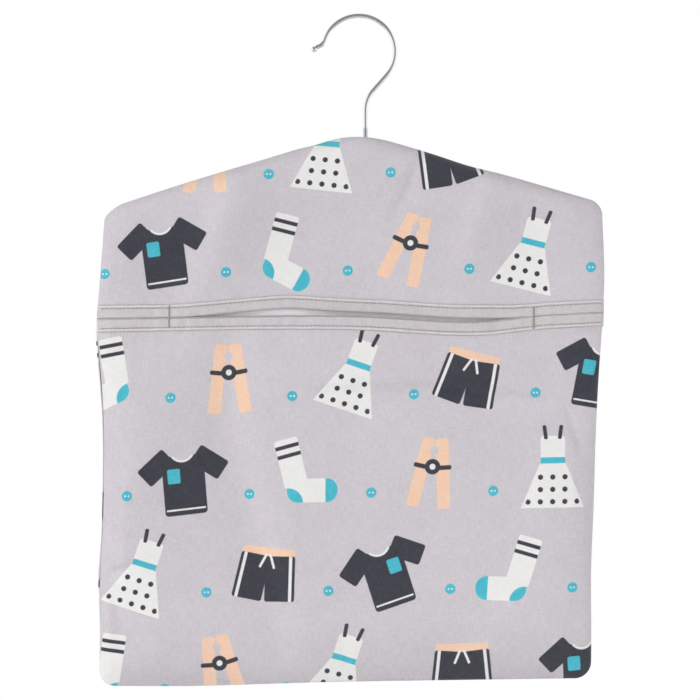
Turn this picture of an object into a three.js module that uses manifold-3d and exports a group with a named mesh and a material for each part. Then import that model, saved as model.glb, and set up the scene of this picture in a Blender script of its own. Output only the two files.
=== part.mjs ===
// Peg bag: a sewn cotton bag, open at a slit across its front, on an arched wooden coat hanger
// whose wire hook swivels. Millimetres, +Z up, +X to the right as seen from the front, which
// faces -Y. The origin is where the washing line sits: the inside of the hook's crown.

import * as THREE from "three";
import { mergeVertices } from "three/addons/utils/BufferGeometryUtils.js";
import Module from "manifold-3d";

const { degToRad, lerp, smoothstep } = THREE.MathUtils;

// Clearance between pieces that touch or run together
const GAP = 0.3;

// Hook: one length of plated wire with a ball nose and a peened foot
const WIRE_DIAMETER = 3.2;
const CROWN_RADIUS = 23.4; // to the middle of the wire
const NECK_ANGLE = degToRad(40); // how far below level the crown runs before the neck
const NECK_BEND_RADIUS = 22; // from the neck into the stem
const STEM_OFFSET = 4.6; // stem to the right of the crown's middle
const NOSE_ANGLE = degToRad(16); // height above level where the crown ends in the nose
const NOSE_BEND_RADIUS = 4.5; // of the turned-out nose
const NOSE_TURN = degToRad(58);
const NOSE_LENGTH = 2.2; // straight wire between the nose's bend and its ball
const BALL_DIAMETER = 4.2;
const FOOT_DIAMETER = 6.4;
const FOOT_THICKNESS = 1.6;
const WASHER_DIAMETER = 8;
const WASHER_THICKNESS = 1;

// Hanger: an arched wooden bar of even height with round ends
const BAR_END_CLEARANCE = 3.7; // from the nearer side seam's allowance
const BAR_HEIGHT = 18;
const BAR_THICKNESS = 12;
const BAR_EDGE_RADIUS = 5.5;
const BAR_ARCH_RADIUS = 60; // top edge, over the stem
const COUNTERBORE_DEPTH = 7;
const COUNTERBORE_CLEARANCE = 0.6; // round the washer

// Bag: its cut
const HOOK_HEIGHT = 78.7; // from the line down to the top of the bag
const BAG_HEIGHT = 359.4; // from the top of the arch to the bottom seam
const BAG_WIDTH = 324.6;
const MOUTH_FLARE_WIDTH = 5.2; // extra half width at the mouth
const FLARE_HEIGHT_ABOVE = 75;
const FLARE_HEIGHT_BELOW = 50;
const SHOULDER_SLOPE = degToRad(16.85);
const ARCH_RADIUS = 85; // top edge, over the hanger's arch
const SHOULDER_CORNER_RADIUS = 8;
const BOTTOM_CORNER_RADIUS = 11;
const CLOTH_THICKNESS = 0.8;

// Bag: how it hangs, a little askew
const CENTRE_OFFSET = -3.3; // middle of the bag at its shoulders, from the hook's crown
const SIDE_LEAN = 0.0178; // sideways shift for each millimetre of height
const SEAM_TILT = 0.014; // rise of the level seams for each millimetre to the right
const BAR_COVER_HEIGHT = 3.2; // cloth edge above the bar, square to the shoulder

// Bag: its fullness, measured from the seam plane
const HANGER_DEPTH = 8; // over the bar
const DRAWN_DEPTH = 4.5; // below the bar, where the seams draw the cloth in
const BELLY_DEPTH = 15; // in front, below the mouth
const DRAW_START_OFFSET = 26; // below the top edge
const DRAW_END_OFFSET = 62;
const BELLY_START_OFFSET = 125; // below the top of the arch
const BELLY_END_OFFSET = 250;
const SHOULDER_POWER = 14; // how square the bag is from side to side, round the bar
const BELLY_POWER = 6; // and below it
const TOP_ROUND_RADIUS = 5;
const BOTTOM_ROUND_RADIUS = 35;
const FLAT_GAIN = 1.15; // makes the middle of each face level

// Mouth: two bands with a slit between them, tacked at both ends
const MOUTH_OFFSET = 118.1; // from the top of the arch down to the slit
const TACK_INSET = 47.5; // from the side seam to the end of the mouth
const BAND_HEIGHT = 8.5;
const BAND_THICKNESS = 1.2;
const BAND_LAP_WIDTH = 2.5; // how far a band covers its panel
const SLIT_GAPE_HEIGHT = 3.3; // how far the upper lip stands above the lower one
const GAPE_POWER = 6; // how suddenly the lips part from the tacks
const CREST_HEIGHT = 1.8; // and how much more at its crest
const CREST_OFFSET = -43;
const CREST_WIDTH = 38;
const SAG_DEPTH = 5.2; // dip of both lips
const SAG_OFFSET = 87;
const SAG_WIDTH = 40;
const LIP_BOW_DEPTH = 7; // how far the lower lip stands out in front of the upper one
const LIP_BOW_HEIGHT = 80; // how far down the panel the bow dies away

// Thread and seams
const STITCH_INSET = 2; // stitch row from the band's folded edge
const STITCH_WIDTH = 0.7;
const THREAD_THICKNESS = 0.4;
const TACK_WIDTH = 1.4;
const TACK_THICKNESS = 0.6;
const ALLOWANCE_WIDTH = 9;
const ALLOWANCE_THICKNESS = 0.8;
const ALLOWANCE_INSET = 0.5; // from the bag's edge
const HOOK_GAP_CLEARANCE = 0.7; // round the stem, where the top seam is left open

// Mesh counts
const COLUMNS = 24;
const BACK_ROWS = 20;
const UPPER_ROWS = 9;
const LOWER_ROWS = 14;
const SEAM_STEPS = 16;
const HALF_WIRE_SIDES = 5;
const WIRE_STEPS = 64;
const BAR_ARC_STEPS = 4;
const ROUND_SIDES = 24;

// Heights and offsets that follow from these
const WIRE_RADIUS = WIRE_DIAMETER / 2;
const CROWN_Z = WIRE_RADIUS - CROWN_RADIUS;
const TOP_Z = -HOOK_HEIGHT;
const BOTTOM_Z = TOP_Z - BAG_HEIGHT;
const MOUTH_Z = TOP_Z - MOUTH_OFFSET;
const ARCH_DROP = 1 / Math.cos(SHOULDER_SLOPE) - 1; // of an arch of radius 1, below its lines' corner
const SHOULDER_Z = TOP_Z + ARCH_RADIUS * ARCH_DROP - (Math.tan(SHOULDER_SLOPE) * BAG_WIDTH) / 2;
const SEAM_HALF_GAP = ALLOWANCE_THICKNESS / 2 + GAP;
const STEM_IN_BAG = STEM_OFFSET - middleAt(TOP_Z);
const HALF_MOUTH = BAG_WIDTH / 2 + MOUTH_FLARE_WIDTH - TACK_INSET;
const SEAM_REACH = ALLOWANCE_INSET + ALLOWANCE_WIDTH; // from the bag's edge
const BAR_HALF_LENGTH = BAG_WIDTH / 2 - SEAM_REACH - Math.abs(STEM_IN_BAG) - BAR_END_CLEARANCE;

const wasm = await Module();
wasm.setup();

// Solids for joining and cutting

function solidOf(geometry) {
  const bare = geometry.clone();
  bare.deleteAttribute("normal");
  bare.deleteAttribute("uv");
  const merged = mergeVertices(bare, 1e-4);
  return new wasm.Manifold(
    new wasm.Mesh({
      numProp: 3,
      vertProperties: new Float32Array(merged.attributes.position.array),
      triVerts: new Uint32Array(merged.index.array),
    }),
  );
}

function geometryOf(solid) {
  const mesh = solid.getMesh();
  const geometry = new THREE.BufferGeometry();
  geometry.setAttribute("position", new THREE.BufferAttribute(mesh.vertProperties, 3));
  geometry.setIndex(new THREE.BufferAttribute(mesh.triVerts, 1));
  return geometry;
}

// An upright cylinder on the stem's axis, between two heights
function stemCylinder(radius, low, high) {
  const cylinder = new THREE.CylinderGeometry(radius, radius, high - low, ROUND_SIDES);
  return cylinder.rotateX(Math.PI / 2).translate(STEM_OFFSET, 0, (low + high) / 2);
}

// A closed sheet: a box of columns by rows by one cell, whose corners go to place(u, v, w), with
// u across, v up and w from the inner face to the outer one, each from 0 to 1
function bentSheet(columns, rows, place) {
  const box = new THREE.BoxGeometry(1, 1, 1, columns, rows, 1);
  box.deleteAttribute("normal");
  box.deleteAttribute("uv");
  const sheet = mergeVertices(box, 1e-6);
  const corner = sheet.attributes.position;
  for (let i = 0; i < corner.count; i++) {
    corner.setXYZ(i, ...place(corner.getX(i) + 0.5, corner.getY(i) + 0.5, corner.getZ(i) + 0.5));
  }
  return sheet;
}

// The bag's outline, in its own upright frame: x from its middle, z as in the part

function hump(x, at, reach) {
  return Math.exp(-(((x - at) / reach) ** 2));
}

function halfWidth(z) {
  const reach = z > MOUTH_Z ? FLARE_HEIGHT_ABOVE : FLARE_HEIGHT_BELOW;
  return BAG_WIDTH / 2 + MOUTH_FLARE_WIDTH * hump(z, MOUTH_Z, reach);
}

function cornerInset(fromEdge, radius) {
  return fromEdge < radius ? radius - Math.sqrt(radius ** 2 - (radius - fromEdge) ** 2) : 0;
}

function topEdge(x) {
  const archEnd = ARCH_RADIUS * Math.sin(SHOULDER_SLOPE);
  const across = Math.abs(x);
  const archMiddle = TOP_Z - ARCH_RADIUS;
  const edge =
    across < archEnd
      ? archMiddle + Math.sqrt(ARCH_RADIUS ** 2 - x ** 2)
      : archMiddle + ARCH_RADIUS * Math.cos(SHOULDER_SLOPE) - Math.tan(SHOULDER_SLOPE) * (across - archEnd);
  return edge - cornerInset(Math.max(0, halfWidth(SHOULDER_Z) - across), SHOULDER_CORNER_RADIUS);
}

// The slit's lower lip, and the upper one that gapes above it

function lowerLip(x) {
  return MOUTH_Z - GAP / 2 - SAG_DEPTH * hump(x, SAG_OFFSET, SAG_WIDTH);
}

function upperLip(x) {
  const alongMouth = Math.min(1, Math.abs(x) / HALF_MOUTH);
  const gape = SLIT_GAPE_HEIGHT + CREST_HEIGHT * hump(x, CREST_OFFSET, CREST_WIDTH);
  return lowerLip(x) + GAP + gape * (1 - alongMouth ** GAPE_POWER);
}

// The bag's faces: how far the inner face of the cloth lies from the seam plane

// Share of the way from the bar down to where the cloth is drawn in
function drawShare(x, z) {
  return smoothstep(topEdge(x) - z, DRAW_START_OFFSET, DRAW_END_OFFSET);
}

// Share of the way from the mouth down to the full belly
function bellyShare(z) {
  return smoothstep(TOP_Z - z, BELLY_START_OFFSET, BELLY_END_OFFSET);
}

function edgeShare(x, z) {
  const power = lerp(SHOULDER_POWER, BELLY_POWER, drawShare(x, z));
  const side = 1 - Math.min(1, Math.abs(x) / halfWidth(z)) ** power;
  const top = 1 - Math.exp(-Math.max(0, topEdge(x) - z) / TOP_ROUND_RADIUS);
  const bottom = 1 - Math.exp(-Math.max(0, z - BOTTOM_Z) / BOTTOM_ROUND_RADIUS);
  return Math.min(1, FLAT_GAIN * side * top * bottom);
}

function backFace(x, z) {
  return SEAM_HALF_GAP + lerp(HANGER_DEPTH, DRAWN_DEPTH, drawShare(x, z)) * edgeShare(x, z);
}

function upperFace(x, z) {
  const belly = (BELLY_DEPTH - DRAWN_DEPTH) * bellyShare(z);
  return backFace(x, z) + belly * edgeShare(x, z);
}

function lowerFace(x, z) {
  const alongMouth = Math.min(1, Math.abs(x) / HALF_MOUTH);
  const below = Math.max(0, lowerLip(x) - z);
  return upperFace(x, z) + LIP_BOW_DEPTH * (1 - alongMouth ** 2) ** 2 * Math.exp(-below / LIP_BOW_HEIGHT);
}

// The hang of the bag: from its upright frame to the part's, a little askew

function middleAt(z) {
  return CENTRE_OFFSET + SIDE_LEAN * (z - SHOULDER_Z);
}

function hang(x, y, z) {
  return [x + middleAt(z), y, z + SEAM_TILT * x];
}

// Columns close up towards the sides, where the cloth turns in
function acrossAt(u, half) {
  return half * Math.sin((u - 0.5) * Math.PI);
}

// Cloth panels

function backPanelGeometry() {
  const panel = bentSheet(COLUMNS, BACK_ROWS, (u, v, w) => {
    const up = (1 - Math.cos(Math.PI * v)) / 2;
    const sideZ = lerp(BOTTOM_Z, SHOULDER_Z, up);
    const half = halfWidth(sideZ) - cornerInset(sideZ - BOTTOM_Z, BOTTOM_CORNER_RADIUS);
    const x = -acrossAt(u, half);
    const z = lerp(BOTTOM_Z, topEdge(x), up);
    return hang(x, backFace(x, z) + w * CLOTH_THICKNESS, z);
  });
  return geometryOf(solidOf(panel).subtract(hookGap()));
}

function upperPanelGeometry() {
  const panel = bentSheet(COLUMNS, UPPER_ROWS, (u, v, w) => {
    const up = Math.sin((Math.PI / 2) * v);
    const x = acrossAt(u, halfWidth(lerp(MOUTH_Z, SHOULDER_Z, up)));
    const z = lerp(upperLip(x) + BAND_HEIGHT - BAND_LAP_WIDTH, topEdge(x), up);
    return hang(x, -upperFace(x, z) - w * CLOTH_THICKNESS, z);
  });
  return geometryOf(solidOf(panel).subtract(hookGap()));
}

function lowerPanelGeometry() {
  return bentSheet(COLUMNS, LOWER_ROWS, (u, v, w) => {
    const up = 1 - Math.cos((Math.PI / 2) * v);
    const sideZ = lerp(BOTTOM_Z, MOUTH_Z, up);
    const x = acrossAt(u, halfWidth(sideZ) - cornerInset(sideZ - BOTTOM_Z, BOTTOM_CORNER_RADIUS));
    const z = lerp(BOTTOM_Z, lowerLip(x) - BAND_HEIGHT + BAND_LAP_WIDTH, up);
    return hang(x, -lowerFace(x, z) - w * CLOTH_THICKNESS, z);
  });
}

// The open stretch of the top seam that lets the stem through
function hookGap() {
  return solidOf(stemCylinder(WIRE_RADIUS + HOOK_GAP_CLEARANCE, TOP_Z - BAR_HEIGHT, TOP_Z + BAR_HEIGHT));
}

// Mouth bands: each lies in front of its panel's edge and reaches from there to the lip

const BAND_INNER = CLOTH_THICKNESS + GAP; // from the panel's inner face
const BAND_OUTER = BAND_INNER + BAND_THICKNESS;

function bandGeometry(face, lip, away) {
  return bentSheet(COLUMNS, 2, (u, v, w) => {
    const x = acrossAt(u, halfWidth(MOUTH_Z));
    const z = away > 0 ? lip(x) + BAND_HEIGHT * v : lip(x) - BAND_HEIGHT * (1 - v);
    return hang(x, -face(x, z) - lerp(BAND_INNER, BAND_OUTER, w), z);
  });
}

// A row of topstitching along a band, near its folded edge
function stitchRowGeometry(face, lip, away) {
  return bentSheet(COLUMNS, 1, (u, v, w) => {
    const x = acrossAt(u, halfWidth(MOUTH_Z) - ALLOWANCE_INSET);
    const z = lip(x) + away * (BAND_HEIGHT - STITCH_INSET) + STITCH_WIDTH * (v - 0.5);
    return hang(x, -face(x, z) - BAND_OUTER - GAP - w * THREAD_THICKNESS, z);
  });
}

// A tack across both bands at one end of the mouth, between the two stitch rows
function tackGeometry(side) {
  const reach = BAND_HEIGHT - STITCH_INSET - STITCH_WIDTH;
  return bentSheet(1, 6, (u, v, w) => {
    const x = side * HALF_MOUTH + TACK_WIDTH * (u - 0.5);
    const z = lerp(lowerLip(x) - reach, upperLip(x) + reach, v);
    return hang(x, -upperFace(x, z) - BAND_OUTER - GAP - w * TACK_THICKNESS, z);
  });
}

// Seam allowances, turned in and lying in the seam plane

function allowanceY(w) {
  return -ALLOWANCE_THICKNESS * (w - 0.5);
}

function sideSeamGeometry(side) {
  const low = BOTTOM_Z + BOTTOM_CORNER_RADIUS + GAP;
  const high = SHOULDER_Z - SHOULDER_CORNER_RADIUS - GAP;
  return bentSheet(1, SEAM_STEPS, (u, v, w) => {
    const z = lerp(low, high, v);
    const inset = ALLOWANCE_INSET + ALLOWANCE_WIDTH * (side > 0 ? 1 - u : u);
    return hang(side * (halfWidth(z) - inset), allowanceY(w), z);
  });
}

function bottomSeamGeometry() {
  const half = BAG_WIDTH / 2 - BOTTOM_CORNER_RADIUS - GAP;
  return bentSheet(SEAM_STEPS, 1, (u, v, w) => {
    const z = BOTTOM_Z + ALLOWANCE_INSET + ALLOWANCE_WIDTH * v;
    return hang(lerp(-half, half, u), allowanceY(w), z);
  });
}

// The shoulder allowances are trimmed to the room above the bar, which they rest on
function shoulderSeamGeometry(side) {
  const inner = STEM_IN_BAG + side * (WIRE_RADIUS + HOOK_GAP_CLEARANCE + GAP);
  const outer = side * (halfWidth(SHOULDER_Z) - SHOULDER_CORNER_RADIUS);
  const ends = side > 0 ? [inner, outer] : [outer, inner];
  const deep = BAR_COVER_HEIGHT / Math.cos(SHOULDER_SLOPE) - GAP;
  return bentSheet(SEAM_STEPS, 1, (u, v, w) => {
    const x = lerp(...ends, u);
    return hang(x, allowanceY(w), topEdge(x) - lerp(deep, ALLOWANCE_INSET, v));
  });
}

// Hanger bar

// Height of the corner where the lines of the bar's two arms would meet, over the stem
function barCorner() {
  const bagCorner = TOP_Z + ARCH_RADIUS * ARCH_DROP;
  const offCentre = Math.abs(STEM_IN_BAG) + Math.abs(SIDE_LEAN) * (TOP_Z - SHOULDER_Z);
  const lowered = Math.tan(SHOULDER_SLOPE) * offCentre - SEAM_TILT * STEM_IN_BAG;
  return bagCorner - lowered - BAR_COVER_HEIGHT / Math.cos(SHOULDER_SLOPE);
}

function barGeometry() {
  const slope = SHOULDER_SLOPE;
  const arch = new THREE.Vector2(0, -BAR_ARCH_RADIUS / Math.cos(slope)); // middle of the arch
  const endRadius = BAR_HEIGHT / 2;
  const middleRadius = BAR_ARCH_RADIUS - endRadius;
  const armStart = new THREE.Vector2(Math.sin(slope), Math.cos(slope)).multiplyScalar(middleRadius).add(arch);
  const endX = BAR_HALF_LENGTH - endRadius;
  const endY = armStart.y - Math.tan(slope) * (endX - armStart.x);
  const upright = Math.PI / 2;
  const outline = new THREE.Shape();
  outline.absarc(arch.x, arch.y, BAR_ARCH_RADIUS, upright + slope, upright - slope, true);
  outline.absarc(endX, endY, endRadius, upright - slope, -upright - slope, true);
  outline.absarc(arch.x, arch.y, BAR_ARCH_RADIUS - BAR_HEIGHT, upright - slope, upright + slope, false);
  outline.absarc(-endX, endY, endRadius, -upright + slope, -3 * upright + slope, true);
  outline.closePath();
  const bar = new THREE.ExtrudeGeometry(outline, {
    depth: BAR_THICKNESS - 2 * BAR_EDGE_RADIUS,
    bevelSize: BAR_EDGE_RADIUS,
    bevelThickness: BAR_EDGE_RADIUS,
    bevelOffset: -BAR_EDGE_RADIUS,
    bevelSegments: 3,
    curveSegments: BAR_ARC_STEPS,
  });
  bar.translate(0, 0, BAR_EDGE_RADIUS - BAR_THICKNESS / 2);
  bar.rotateX(Math.PI / 2).rotateY(-Math.atan(SEAM_TILT)).translate(STEM_OFFSET, 0, barCorner());
  const bore = stemCylinder(WIRE_RADIUS + GAP, barTop() - 2 * BAR_HEIGHT, barTop() + BAR_HEIGHT);
  const pocketRadius = WASHER_DIAMETER / 2 + COUNTERBORE_CLEARANCE;
  const pocket = stemCylinder(pocketRadius, barTop() - 2 * BAR_HEIGHT, counterboreZ());
  return geometryOf(solidOf(bar).subtract(solidOf(bore)).subtract(solidOf(pocket)));
}

function barTop() {
  return barCorner() - BAR_ARCH_RADIUS * ARCH_DROP;
}

// Roof of the counterbore, which the washer bears against
function counterboreZ() {
  return barTop() - BAR_HEIGHT + COUNTERBORE_DEPTH;
}

// Hook

const WASHER_TOP_Z = counterboreZ() - GAP;
const FOOT_TOP_Z = WASHER_TOP_Z - WASHER_THICKNESS - GAP;

// An arc in the hook's plane, y = 0, from one angle to another
class UprightArc extends THREE.Curve {
  constructor(middle, radius, from, to) {
    super();
    Object.assign(this, { middle, radius, from, to });
  }
  getPoint(t, target = new THREE.Vector3()) {
    const angle = lerp(this.from, this.to, t);
    const out = new THREE.Vector3(Math.cos(angle), 0, Math.sin(angle));
    return target.copy(this.middle).addScaledVector(out, this.radius);
  }
}

// The middle of the wire, from the foot of the stem to the nose
function wirePath() {
  const crownMiddle = new THREE.Vector3(0, 0, CROWN_Z);
  const crown = new UprightArc(crownMiddle, CROWN_RADIUS, -NECK_ANGLE, Math.PI - NOSE_ANGLE);
  const neckTop = crown.getPoint(0);
  const neckDrop = (neckTop.x - STEM_OFFSET) / Math.tan(NECK_ANGLE);
  const bendStart = neckTop.z - neckDrop - NECK_BEND_RADIUS * Math.tan(NECK_ANGLE / 2);
  const bendMiddle = new THREE.Vector3(STEM_OFFSET + NECK_BEND_RADIUS, 0, bendStart);
  const neckBend = new UprightArc(bendMiddle, NECK_BEND_RADIUS, Math.PI, Math.PI - NECK_ANGLE);
  const noseStart = crown.getPoint(1);
  const outward = noseStart.clone().sub(crownMiddle).normalize();
  const noseMiddle = noseStart.clone().addScaledVector(outward, NOSE_BEND_RADIUS);
  const nose = new UprightArc(noseMiddle, NOSE_BEND_RADIUS, -NOSE_ANGLE, -NOSE_ANGLE - NOSE_TURN);
  const noseEnd = nose.getPoint(1);
  const heading = nose.getTangent(1).multiplyScalar(NOSE_LENGTH);
  const path = new THREE.CurvePath();
  const foot = new THREE.Vector3(STEM_OFFSET, 0, FOOT_TOP_Z - FOOT_THICKNESS / 2);
  path.add(new THREE.LineCurve3(foot, neckBend.getPoint(0)));
  path.add(neckBend);
  path.add(new THREE.LineCurve3(neckBend.getPoint(1), neckTop));
  path.add(crown);
  path.add(nose);
  path.add(new THREE.LineCurve3(noseEnd, noseEnd.clone().add(heading)));
  return path;
}

function hookGeometry() {
  const section = new THREE.Shape();
  section.absarc(0, 0, WIRE_RADIUS, 0, 2 * Math.PI, false);
  const path = wirePath();
  const wire = new THREE.ExtrudeGeometry(section, {
    steps: WIRE_STEPS,
    curveSegments: HALF_WIRE_SIDES,
    extrudePath: path,
  });
  const tip = path.getPoint(1);
  const ball = new THREE.SphereGeometry(BALL_DIAMETER / 2, 14, 10).translate(tip.x, tip.y, tip.z);
  const foot = stemCylinder(FOOT_DIAMETER / 2, FOOT_TOP_Z - FOOT_THICKNESS, FOOT_TOP_Z);
  return geometryOf(solidOf(wire).add(solidOf(ball)).add(solidOf(foot)));
}

function washerGeometry() {
  const low = WASHER_TOP_Z - WASHER_THICKNESS;
  const disc = stemCylinder(WASHER_DIAMETER / 2, low, WASHER_TOP_Z);
  const hole = stemCylinder(WIRE_RADIUS + GAP, low - WASHER_THICKNESS, WASHER_TOP_Z + WASHER_THICKNESS);
  return geometryOf(solidOf(disc).subtract(solidOf(hole)));
}

// Materials

const chrome = new THREE.MeshStandardMaterial({ color: 0xc9cbcd, roughness: 0.18, metalness: 1 });
const steel = new THREE.MeshStandardMaterial({ color: 0xa9abad, roughness: 0.35, metalness: 1 });
const beech = new THREE.MeshStandardMaterial({ color: 0xd9b98c, roughness: 0.55, metalness: 0 });
const greyCotton = new THREE.MeshStandardMaterial({ color: 0xc9c4c9, roughness: 0.9, metalness: 0 });
const rawCotton = new THREE.MeshStandardMaterial({ color: 0xe6e3e2, roughness: 0.92, metalness: 0 });
const thread = new THREE.MeshStandardMaterial({ color: 0x9c968c, roughness: 0.8, metalness: 0 });

function piece(name, geometry, material) {
  const mesh = new THREE.Mesh(geometry, material);
  mesh.name = name;
  return mesh;
}

// Assembly

const hook = new THREE.Group();
hook.add(piece("hook_wire", hookGeometry(), chrome));
hook.add(piece("hook_washer", washerGeometry(), steel));

const frontPanel = new THREE.Group();
frontPanel.add(piece("front_lower_panel", lowerPanelGeometry(), greyCotton));
frontPanel.add(piece("lower_mouth_band", bandGeometry(lowerFace, lowerLip, -1), greyCotton));
frontPanel.add(piece("lower_band_stitching", stitchRowGeometry(lowerFace, lowerLip, -1), thread));
frontPanel.add(piece("bar_tack_left", tackGeometry(-1), thread));
frontPanel.add(piece("bar_tack_right", tackGeometry(1), thread));

const bag = new THREE.Group();
bag.add(piece("hanger_bar", barGeometry(), beech));
bag.add(piece("back_panel", backPanelGeometry(), greyCotton));
bag.add(piece("front_upper_panel", upperPanelGeometry(), greyCotton));
bag.add(piece("upper_mouth_band", bandGeometry(upperFace, upperLip, 1), greyCotton));
bag.add(piece("upper_band_stitching", stitchRowGeometry(upperFace, upperLip, 1), thread));
bag.add(piece("side_seam_left", sideSeamGeometry(-1), rawCotton));
bag.add(piece("side_seam_right", sideSeamGeometry(1), rawCotton));
bag.add(piece("bottom_seam", bottomSeamGeometry(), rawCotton));
bag.add(piece("shoulder_seam_left", shoulderSeamGeometry(-1), rawCotton));
bag.add(piece("shoulder_seam_right", shoulderSeamGeometry(1), rawCotton));
bag.add(frontPanel);

const pegBag = new THREE.Group();
pegBag.add(hook, bag);

export default pegBag;
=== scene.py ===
import math

import bmesh
import bpy
from mathutils import Matrix, Vector, noise
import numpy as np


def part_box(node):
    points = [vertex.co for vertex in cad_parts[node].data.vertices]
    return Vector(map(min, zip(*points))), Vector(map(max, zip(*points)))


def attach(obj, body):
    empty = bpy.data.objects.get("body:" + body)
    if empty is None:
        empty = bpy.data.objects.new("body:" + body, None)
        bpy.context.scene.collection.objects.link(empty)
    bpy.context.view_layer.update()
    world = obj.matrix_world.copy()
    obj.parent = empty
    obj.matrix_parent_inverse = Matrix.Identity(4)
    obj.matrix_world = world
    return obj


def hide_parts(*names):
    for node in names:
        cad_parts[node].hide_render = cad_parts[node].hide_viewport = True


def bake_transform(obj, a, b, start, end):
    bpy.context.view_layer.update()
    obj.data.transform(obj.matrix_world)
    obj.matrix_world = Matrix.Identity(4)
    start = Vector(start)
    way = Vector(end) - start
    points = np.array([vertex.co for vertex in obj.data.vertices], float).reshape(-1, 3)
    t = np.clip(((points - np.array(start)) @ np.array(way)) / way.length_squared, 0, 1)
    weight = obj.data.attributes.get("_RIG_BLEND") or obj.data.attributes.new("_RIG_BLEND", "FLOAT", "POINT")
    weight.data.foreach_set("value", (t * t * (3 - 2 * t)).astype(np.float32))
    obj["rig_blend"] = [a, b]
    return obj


# Peg bag: printed cotton on an arched wooden hanger, open at a bound slit across the front.
# Metres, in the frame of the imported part: +Z up, +X to the right seen from the front, front at -Y.

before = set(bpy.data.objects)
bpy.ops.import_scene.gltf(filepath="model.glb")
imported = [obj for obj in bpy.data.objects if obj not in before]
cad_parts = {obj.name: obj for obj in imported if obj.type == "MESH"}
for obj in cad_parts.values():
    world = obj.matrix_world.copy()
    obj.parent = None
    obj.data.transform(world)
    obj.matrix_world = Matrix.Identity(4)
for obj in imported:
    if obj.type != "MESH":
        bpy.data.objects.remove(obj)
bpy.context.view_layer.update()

MM = 0.001

# Hook
WIRE_RADIUS = 1.6 * MM
CROWN_RADIUS = 23.9 * MM
CROWN_OFFSET = 0.3 * MM
CROWN_Z = -22.5 * MM
NECK_ANGLE = math.radians(41.4)
NECK_BEND_RADIUS = 20 * MM
STEM_OFFSET = 4.6 * MM
NOSE_ANGLE = math.radians(18.5)
NOSE_BEND_RADIUS = 6.5 * MM
NOSE_TURN = math.radians(58)
NOSE_LENGTH = 0.3 * MM
BALL_RADIUS = 2.1 * MM
BALL_DROP = 0.9 * MM  # below the wire's own line
BALL_TIP = 0.6325 * MM  # flat that closes the ball
NECK_STEPS = 16
CROWN_STEPS = 64
NOSE_STEPS = 12
BALL_STEPS = 10
FOOT_RADIUS = 3.2 * MM
FOOT_ROUND = 0.4 * MM
FOOT_CLEARANCE = 0.3 * MM  # under the washer
FOOT_STEP = 0.02 * MM  # height in which the foot narrows to the wire
STEM_START = 1 * MM  # above the foot

# The bag's cut
TOP_Z = -78.7 * MM
BOTTOM_Z = TOP_Z - 359.4 * MM
MOUTH_Z = TOP_Z - 118.1 * MM
BAG_WIDTH = 324.6 * MM
MOUTH_FLARE = 5.2 * MM
FLARE_ABOVE = 75 * MM
FLARE_BELOW = 50 * MM
SHOULDER_SLOPE = math.radians(16.85)
ARCH_RADIUS = 85 * MM
SHOULDER_CORNER = 8 * MM
BOTTOM_CORNER = 11 * MM
CLOTH_THICKNESS = 0.8 * MM

# Where its worn edges stray from their cut, in millimetres: at, reach, how far outwards or upwards
LEFT_EASE = [(-198, 20, 1), (-366, 22, 1.8)]
RIGHT_EASE = [(-212, 36, -2), (-366, 34, -1.3)]
TOP_EASE = [(75, 17, -1), (-112, 48, 1), (-24, 10, -0.9), (-160, 4.5, -1.5)]
BOTTOM_EASE = [(-100, 62, -1.5)]

# How it hangs, a little askew
CENTRE_OFFSET = -3.3 * MM
SIDE_LEAN = 0.0178
SEAM_TILT = 0.014

# Its fullness
HANGER_DEPTH = 8 * MM
DRAWN_DEPTH = 4.5 * MM  # below the bar, where the seams draw the cloth in
BELLY_DEPTH = 12 * MM  # in front, below the mouth
DRAW_START = 26 * MM  # below the top edge
DRAW_END = 62 * MM
BELLY_START = 125 * MM  # below the top of the arch
BELLY_END = 250 * MM
BACK_DENT = 4.2 * MM  # how far the back hangs forward behind the mouth
CREST_DENT = 4.6 * MM  # and how much more behind its crest
DENT_HEIGHT = 24 * MM
SHOULDER_POWER = 20  # how squarely the faces turn in at the sides
BELLY_POWER = 22
TOP_ROUND = 5 * MM
BOTTOM_ROUND = 22 * MM
FLAT_GAIN = 1.15

# The mouth
HALF_MOUTH = BAG_WIDTH / 2 + MOUTH_FLARE - 47.5 * MM
LIP_LIFT = 0.5 * MM  # both lips, above where they were cut
LOWER_BAND_HEIGHT = 8.8 * MM
UPPER_BAND_HEIGHT = 8.3 * MM
SLIT_GAP = 0.6 * MM
LEFT_GAP = 0.6 * MM  # and how much more towards the left end
LEFT_GAP_START = 60 * MM  # left of the middle
LEFT_GAP_END = 110 * MM
SLIT_GAPE = 3 * MM
GAPE_LEFT = -66 * MM  # the lips stand fully open between these
GAPE_RIGHT = 80 * MM
CREST_HEIGHT = 2.2 * MM
CREST_OFFSET = -42 * MM
CREST_WIDTH = 25 * MM
SAG_DEPTH = 5.7 * MM
SAG_OFFSET = 81 * MM
SAG_LEFT = 58 * MM  # how far the dip reaches either way
SAG_RIGHT = 40 * MM
END_SAG_DEPTH = 0.75 * MM  # a second dip, at the right end
END_SAG_OFFSET = 146 * MM
END_SAG_WIDTH = 25 * MM
LIP_BOW = 4.5 * MM
LIP_BOW_HEIGHT = 80 * MM

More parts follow.
